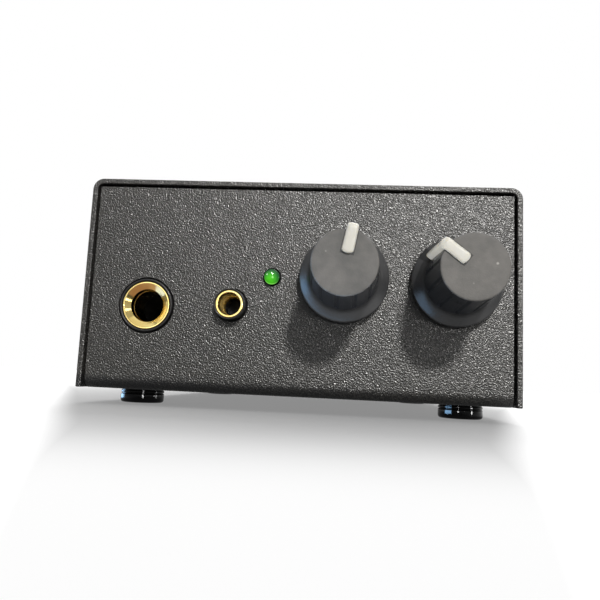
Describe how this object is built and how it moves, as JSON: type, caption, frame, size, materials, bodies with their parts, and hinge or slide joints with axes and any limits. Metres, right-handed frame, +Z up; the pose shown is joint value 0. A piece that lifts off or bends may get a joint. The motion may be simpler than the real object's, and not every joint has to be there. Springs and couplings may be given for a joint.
{
  "type": "headphone amplifier",
  "caption": "Small desktop headphone amplifier in a folded steel case, with large and small headphone sockets, a power light and turning level knobs.",
  "frame": {"origin": "on the surface that the feet stand on, under the middle of the object's box", "axes": "+X to the right of someone facing the front panel, -Y out of the front panel, +Z up"},
  "size_m": [0.0918, 0.151, 0.0466],
  "materials": {
    "powder_coat": "black, finely textured powder coat",
    "black_plastic": "moulded, satin",
    "knob_plastic": "soft touch, slight sheen",
    "pointer_white": "moulded, slight gloss",
    "brass": "turned, bright",
    "rubber": "moulded, slight gloss",
    "led_green": "clear tinted lens, lit",
    "bright_steel": "nickel plated",
    "black_steel": "black oxide",
    "spring_bronze": "rolled strip",
    "shaft_metal": "turned",
    "board_green": "solder mask",
    "chip_black": "moulded",
    "capacitor_sleeve": "printed sleeve, left plain",
    "wafer_brown": "pressed laminate",
    "pot_case": "moulded",
    "phono_white": "moulded",
    "phono_red": "moulded"
  },
  "bodies": {
    "case": {"chassis_tray": "powder_coat", "top_cover": "powder_coat", "cover_screw_front_left": "black_steel", "cover_screw_front_right": "black_steel", "cover_screw_rear_left": "black_steel", "cover_screw_rear_right": "black_steel", "foot_front_left": "rubber", "foot_front_right": "rubber", "foot_rear_left": "rubber", "foot_rear_right": "rubber", "standoff_front_left": "bright_steel", "standoff_front_right": "bright_steel", "standoff_rear_left": "bright_steel", "standoff_rear_right": "bright_steel", "board_screw_front_left": "bright_steel", "board_screw_front_right": "bright_steel", "board_screw_rear_left": "bright_steel", "board_screw_rear_right": "bright_steel", "circuit_board": "board_green", "phone_jack_housing": "black_plastic", "phone_jack_bush": "brass", "phone_jack_tip_spring": "spring_bronze", "phone_jack_ring_spring": "spring_bronze", "mini_jack_housing": "black_plastic", "mini_jack_bush": "brass", "mini_jack_tip_spring": "spring_bronze", "mini_jack_ring_spring": "spring_bronze", "power_led": "led_green", "led_anode_lead": "bright_steel", "led_cathode_lead": "bright_steel", "left_pot_case": "pot_case", "left_pot_bushing": "bright_steel", "left_pot_washer": "bright_steel", "left_pot_nut": "bright_steel", "left_pot_wafer": "wafer_brown", "right_pot_case": "pot_case", "right_pot_bushing": "bright_steel", "right_pot_washer": "bright_steel", "right_pot_nut": "bright_steel", "right_pot_wafer": "wafer_brown", "phono_block": "black_plastic", "phono_shell_left": "bright_steel", "phono_shell_right": "bright_steel", "phono_insert_left": "phono_white", "phono_insert_right": "phono_red", "supply_inlet_housing": "black_plastic", "supply_inlet_pin": "bright_steel", "driver_chip_left": "chip_black", "driver_chip_right": "chip_black", "capacitor_left": "capacitor_sleeve", "capacitor_middle": "capacitor_sleeve", "capacitor_right": "capacitor_sleeve", "voltage_regulator": "chip_black"},
    "left_control": {"left_knob": "knob_plastic", "left_knob_pointer": "pointer_white", "left_pot_shaft": "shaft_metal"},
    "right_control": {"right_knob": "knob_plastic", "right_knob_pointer": "pointer_white", "right_pot_shaft": "shaft_metal"}
  },
  "joints": [
    {"name": "left_knob_turn", "type": "hinge", "parent": "case", "child": "left_control", "pos_m": [0.0091, -0.0569, 0.027], "axis": [0, 1, 0], "range_deg": [-161, 139]},
    {"name": "right_knob_turn", "type": "hinge", "parent": "case", "child": "right_control", "pos_m": [0.0311, -0.0569, 0.027], "axis": [0, 1, 0], "range_deg": [-98, 202]}
  ]
}
